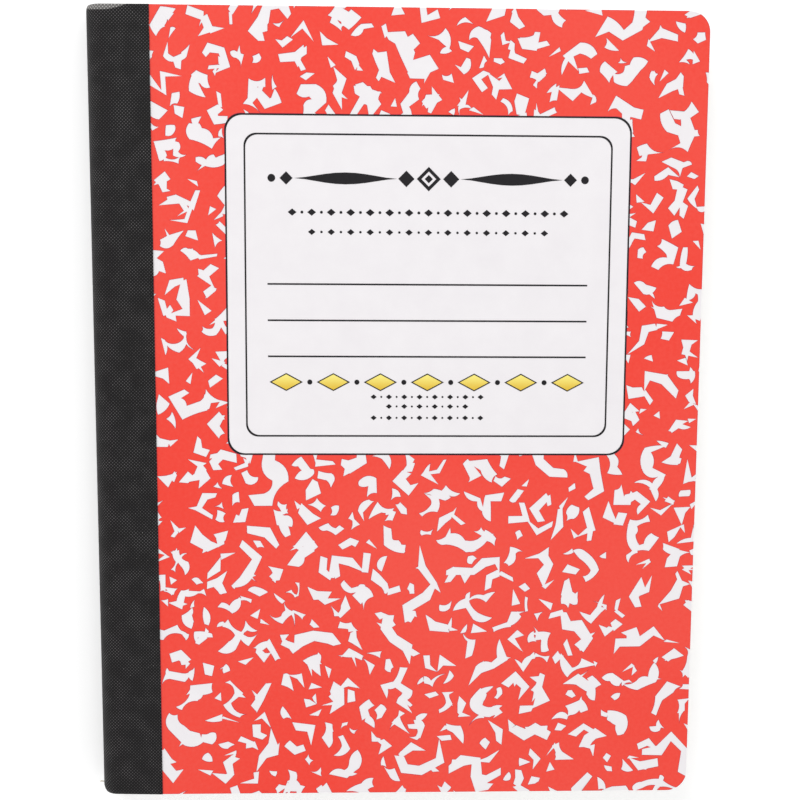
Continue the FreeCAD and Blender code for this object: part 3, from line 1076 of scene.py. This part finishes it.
# %% [markdown]
# The ornaments are the stock of any printer: diamonds, dots, and rules that swell in their middle.
# The headpiece is the same on both sides of its middle, so it is drawn once and mirrored. Each small
# row stands where a line of small print would be.

# %% Headpiece and small rows
HEADPIECE_Y = label_high.y - 19.3 * MM
HEADPIECE_HALF = 3.7 * MM
NESTED_SHARES = (1.0, 0.62, 0.34)
# How far from the middle each one stands, and then its size.
INNER_DIAMOND = (6.9 * MM, 2.5 * MM)
LONG_RULE = (25.6 * MM, 31.4 * MM, 3.6 * MM)
OUTER_DIAMOND = (43.8 * MM, 2.0 * MM)
END_DOT = (48.3 * MM, 1.2 * MM)
# In millimetres: the drop from the label's top edge, the length, the pitch, and half a diamond.
SMALL_ROWS = ((29.6, 84, 3.0, 1.35), (35.6, 74, 3.0, 1.15), (86.6, 34, 2.4, 0.95),
              (89.6, 24, 2.4, 0.95), (93.2, 34, 2.4, 0.95))


def headpiece():
    """A diamond within a diamond, with swelled rules and smaller diamonds on both sides."""
    outlines = []
    for share in NESTED_SHARES:
        outlines.append(lozenge(label_x, HEADPIECE_Y, HEADPIECE_HALF * share, HEADPIECE_HALF * share))
    for way in (-1, 1):
        for place, size in (INNER_DIAMOND, OUTER_DIAMOND):
            outlines.append(lozenge(label_x + way * place, HEADPIECE_Y, size, size))
        place, length, height = LONG_RULE
        outlines.append(swelled_rule(label_x + way * place, HEADPIECE_Y, length, height))
        place, radius = END_DOT
        outlines.append(dot(label_x + way * place, HEADPIECE_Y, radius))
    return outlines


def small_row(drop, length, pitch, size):
    """A row of small diamonds with dots between them."""
    y = label_high.y - drop
    count = 2 * int(length / pitch / 2) + 1
    outlines = []
    for n in range(count):
        x = label_x + (n - (count - 1) / 2) * pitch
        outlines.append(lozenge(x, y, size, size * 0.8) if n % 2 == 0 else dot(x, y, size * 0.33))
    return outlines


black_outlines += headpiece()
for row in SMALL_ROWS:
    black_outlines += small_row(*(value * MM for value in row))
print("the label has", len(black_outlines), "black outlines so far")

# %% [markdown]
# Below the rules runs a row of seven lozenges in yellow with a dark outline. The black film has the
# outline, which is one lozenge less a smaller one, and the yellow film fills the smaller one.

# %% Yellow lozenges
LOZENGES = 7
LOZENGE_PITCH = 14.7 * MM
LOZENGE_Y = label_high.y - 82.0 * MM
LOZENGE_HALF = (5.2 * MM, 2.8 * MM)
OUTLINE_SHARE = 0.86
LOZENGE_DOT = 0.8 * MM

lozenge_places = [label_x + (n - (LOZENGES - 1) / 2) * LOZENGE_PITCH for n in range(LOZENGES)]
yellow_outlines = []
for x in lozenge_places:
    inner = [size * OUTLINE_SHARE for size in LOZENGE_HALF]
    black_outlines.append(lozenge(x, LOZENGE_Y, *LOZENGE_HALF))
    black_outlines.append(lozenge(x, LOZENGE_Y, *inner))
    yellow_outlines.append(lozenge(x, LOZENGE_Y, *inner))
for left, right in zip(lozenge_places, lozenge_places[1:]):
    black_outlines.append(dot((left + right) / 2, LOZENGE_Y, LOZENGE_DOT))


def gold_material():
    """Yellow ink that runs from pale at the top of the row to golden at its foot."""
    gold = Recipe("yellow_ink", Roughness=0.5, Specular_IOR_Level=0.3)
    height = gold.along(1).between(LOZENGE_Y - LOZENGE_HALF[1], LOZENGE_Y + LOZENGE_HALF[1])
    mottle = gold.noise(900.0, 3.0) * 0.12
    gold.feed("Base Color", gold.mix(height + mottle, srgb(232, 190, 52), srgb(255, 240, 130)))
    gold.bump(gold.noise(5200.0, 2.0), 0.01 * MM, 0.3)
    return gold.material


yellow_ink = gold_material()

# %% [markdown]
# Now both inks are printed. A point is inked where an odd number of outlines lies round it, which
# makes a border of two boxes and leaves the ring between two diamonds bare.

# %% Print the label
def odd(first, count):
    return count % 2 == 1


label_films = (("label_black", black_outlines, black_ink, "label_lines", "black_ink"),
               ("label_yellow", yellow_outlines, yellow_ink, "label_ornaments", "yellow_ink"))
for name, outlines, material, node, slot in label_films:
    film = ink_film(name, outlines, odd)
    finish_piece(film, material, 20)
    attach(film, "front_cover")
    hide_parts(node)

# %% [markdown]
# ## A loose end of thread
# Where the seam was cut off, a few millimetres of cream thread stick out under the tape at the tail.
# A short curve with a round section is the quickest way to a thread: its points are listed, it
# becomes a mesh, and it rides with the pages that it is sewn to.

# %% Thread end
THREAD_RADIUS = 0.17 * MM
THREAD_EXIT = 2.6 * MM
# In millimetres from the exit: out of the spine where negative, towards the head, and up.
THREAD_PATH = ((2.0, -1.2, 0.4), (0.6, -0.6, 0.8), (-0.2, -0.1, 1.2), (-0.6, 0.2, 1.4),
               (-1.1, -0.1, 1.3))


def thread_end():
    nothing_selected()
    bpy.ops.curve.primitive_nurbs_path_add(location=(0, 0, 0))
    end = bpy.context.active_object
    end.name = end.data.name = "thread_end"
    exit_y = -half_length + THREAD_EXIT
    for point, (x, y, z) in zip(end.data.splines[0].points, THREAD_PATH):
        point.co = (spine_x + x * MM, exit_y + y * MM, middle_z + z * MM, 1)
    end.data.bevel_depth = THREAD_RADIUS
    end.data.bevel_resolution = 3
    end.data.use_fill_caps = True
    bpy.ops.object.convert(target="MESH")
    return end


loose_end = thread_end()
finish_piece(loose_end, cream_thread, 60)
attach(loose_end, "text_block")

# %% [markdown]
# ## Pieces that keep their CAD mesh
# The seam and the printed lines on the first and the last page have their true shape already. They
# only need a finish.

# %% Finishes on CAD nodes
CAD_FINISHES = {"sewing_thread": cream_thread, "first_page_lines": blue_ruling,
                "last_page_lines": blue_ruling, "first_page_margin": red_ruling,
                "last_page_margin": red_ruling}
for node, material in CAD_FINISHES.items():
    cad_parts[node].data.materials.clear()
    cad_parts[node].data.materials.append(material)

# %% [markdown]
# ## Floor and light
# A catalogue picture has a white ground and soft light from all sides. The world is that light. It is
# paler towards the horizon and darker overhead, so flat surfaces look matt and turned ones get a
# sheen, and it is weaker from below.

# %% The world
SKY_OVERHEAD = 0.70
SKY_HORIZON = 1.06
SKY_BELOW = 0.62
SKY_TURN = (-0.6, -0.15)


def build_world():
    world = bpy.data.worlds.new("studio")
    bpy.context.scene.world = world
    sky = Nodes(world)
    direction = sky.node("TexCoord", output="Generated")
    upward = sky.node("SeparateXYZ", None, {0: direction}, output=2)
    over = upward.between(*SKY_TURN)
    strength = (SKY_HORIZON - upward * (SKY_HORIZON - SKY_OVERHEAD)) * over + (1 - over) * SKY_BELOW
    background = sky.tree.nodes["Background"]
    sky.connect(background.inputs["Color"], (1.0, 1.0, 1.0, 1.0))
    sky.connect(background.inputs["Strength"], strength)


build_world()

# %% [markdown]
# The floor is white and lies just below the book. The camera and reflections see it, from above, and
# so does light on its second bounce, so that no glow creeps out under a cover. All other rays pass
# it, and that is how the underside gets its light from below.

# %% The floor
FLOOR_SIZE = 6.0
FLOOR_DROP = 1.2 * MM
FLOOR_GLOW = 0.14


def build_floor():
    nothing_selected()
    bpy.ops.mesh.primitive_plane_add(size=FLOOR_SIZE, location=(0, 0, -FLOOR_DROP))
    floor = bpy.context.active_object
    floor.name = "floor"
    ground = Recipe("white_floor")
    seen = ground.node("LightPath", output="Ray Depth").above(1.5)
    for ray in ("Is Camera Ray", "Is Glossy Ray", "Is Transmission Ray"):
        seen = seen + ground.node("LightPath", output=ray)
    above = 1 - ground.node("NewGeometry", output="Backfacing")
    paint = ground.node("BsdfDiffuse", None, {"Color": (1.0, 1.0, 1.0, 1.0)})
    glow = ground.node("Emission", None, {"Strength": FLOOR_GLOW})
    clear = ground.node("BsdfTransparent")
    lit = ground.node("AddShader", None, {0: paint, 1: glow})
    shown = ground.node("MixShader", None, {0: seen.above(0.5) * above, 1: clear, 2: lit})
    ground.tree.links.new(shown.socket, ground.tree.nodes["Material Output"].inputs["Surface"])
    ground.tree.nodes.remove(ground.shader)
    floor.data.materials.append(ground.material)


build_floor()
print("the floor lies", round(FLOOR_DROP / MM, 2), "mm below the book")

# %% [markdown]
# One large lamp beyond the head of the book gives the light a direction, as a window would. The
# Standard view shows the colours as they were chosen.

# %% The lamp
LAMP_PLACE = (-0.5, 1.3, 0.9)
LAMP_SIZE = 0.9
LAMP_POWER = 9.0


def add_lamp():
    nothing_selected()
    bpy.ops.object.light_add(type="AREA", location=LAMP_PLACE)
    lamp = bpy.context.active_object
    lamp.name = "head_lamp"
    lamp.data.size = LAMP_SIZE
    lamp.data.energy = LAMP_POWER
    lamp.rotation_euler = (-Vector(LAMP_PLACE)).to_track_quat("-Z", "Y").to_euler()


add_lamp()
bpy.context.scene.view_settings.view_transform = "Standard"

# %% [markdown]
# ## The camera
# The picture was taken from nearly straight above, about 31 cm up, with a slight tilt: the head of
# the cover is a little wider in it than the tail. The lens is given by its focal length, and the
# turn of the camera by three small angles about its own axes.

# %% Camera
LENS = 45.0
SENSOR = 36.0
CAMERA_TILT = (5.34, 1.51, -0.137)
CAMERA_OFFSET = (9.06 * MM, -4.46 * MM, -314.35 * MM)
VIEW_CENTRE = Vector((10.0 * MM, 0.0, ink_top))


def add_camera():
    turn = Matrix.Identity(3)
    for axis, angle in zip("XYZ", CAMERA_TILT):
        turn = Matrix.Rotation(math.radians(angle), 3, axis) @ turn
    bpy.ops.object.camera_add()
    camera = bpy.context.active_object
    camera.data.lens = LENS
    camera.data.sensor_width = SENSOR
    back = turn.transposed()
    camera.location = VIEW_CENTRE - back @ Vector(CAMERA_OFFSET)
    camera.rotation_euler = back.to_euler()
    bpy.context.scene.camera = camera
    print("camera", [round(value, 4) for value in camera.location])


nothing_selected()
add_camera()
